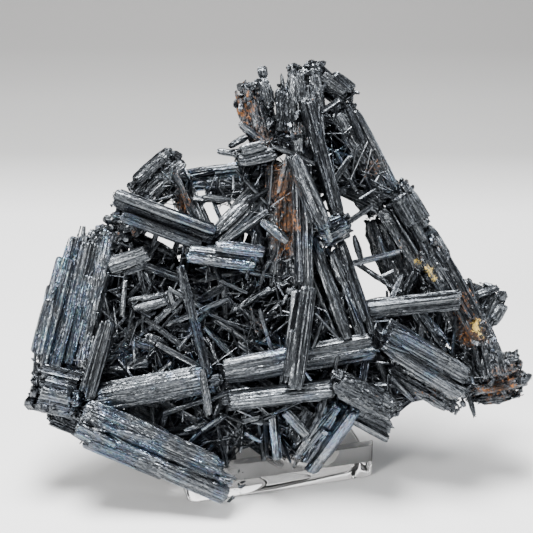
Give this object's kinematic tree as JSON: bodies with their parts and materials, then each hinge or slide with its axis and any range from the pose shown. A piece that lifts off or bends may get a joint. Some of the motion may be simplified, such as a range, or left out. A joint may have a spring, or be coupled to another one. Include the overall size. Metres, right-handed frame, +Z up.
{
  "type": "stibnite crystal spray",
  "caption": "Jumbled spray of striated steel-grey stibnite crystals with blue tarnish and rust, set with white putty on a clear acrylic stand.",
  "frame": {"origin": "middle of the stand's underside, on the surface it rests on", "axes": "+Z up; +X to the right along the spray's width; the spray faces -Y, with the stand's front turned 15 degrees from it"},
  "size_m": [0.1488, 0.0696, 0.1215],
  "materials": {
    "stibnite": "striated metallic lustre",
    "stibnite_bright": "bright metallic cleavage faces",
    "stibnite_tarnished": "metallic lustre with blue and violet tarnish",
    "stibnite_weathered": "dull, rough metallic",
    "stibnite_rusty": "rough, with rust-brown crust",
    "acrylic": "clear, polished",
    "putty": "matte, finger-pressed"
  },
  "bodies": {
    "root": {"acrylic_stand": "acrylic", "lower_left_blade": "stibnite_tarnished", "left_slab": "stibnite_tarnished", "left_front_blade": "stibnite_bright", "left_corner": "stibnite", "under_left_ridge": "stibnite_weathered", "inner_left_crystal": "stibnite_tarnished", "left_mid_blade": "stibnite", "waist_blade_left": "stibnite_tarnished", "waist_blade_right": "stibnite_bright", "lower_waist_blade": "stibnite", "low_bar": "stibnite_weathered", "upper_left_blade": "stibnite_bright", "upper_mid_crystal": "stibnite_tarnished", "brown_druse": "stibnite_rusty", "shoulder_crystal": "stibnite_weathered", "shoulder_leg": "stibnite_rusty", "rust_column": "stibnite_rusty", "column_upper": "stibnite", "column_lower": "stibnite", "rising_bundle": "stibnite", "top_bar_upper": "stibnite_tarnished", "pale_beams": "stibnite_bright", "knot": "stibnite_bright", "long_lath": "stibnite", "v_lath": "stibnite", "mid_lath": "stibnite_bright", "right_post": "stibnite", "bright_needle": "stibnite_bright", "bright_bar": "stibnite_bright", "crown_post": "stibnite_weathered", "crown_bundle": "stibnite", "turret": "stibnite_rusty", "turret_pin": "stibnite_weathered", "turret_plate": "stibnite", "ridge_upper": "stibnite", "ridge_inner": "stibnite_rusty", "dark_diagonal": "stibnite", "ridge_shoulder": "stibnite", "ridge_mid": "stibnite_weathered", "ridge_lower": "stibnite_rusty", "ridge_web": "stibnite_weathered", "cross_bar": "stibnite", "outer_post": "stibnite", "right_knob": "stibnite", "ridge_foot": "stibnite_weathered", "right_blade": "stibnite_bright", "right_blade_under": "stibnite_weathered", "right_toes": "stibnite_rusty", "lower_right_tip": "stibnite", "bottom_bundle": "stibnite_tarnished", "low_pale_blade": "stibnite_bright", "back_spar_upper": "stibnite", "back_spar_rising": "stibnite", "back_spar_low": "stibnite_weathered", "back_post": "stibnite", "back_strut": "stibnite_weathered", "needles": "stibnite", "right_needles": "stibnite", "putty": "putty"}
  },
  "joints": []
}
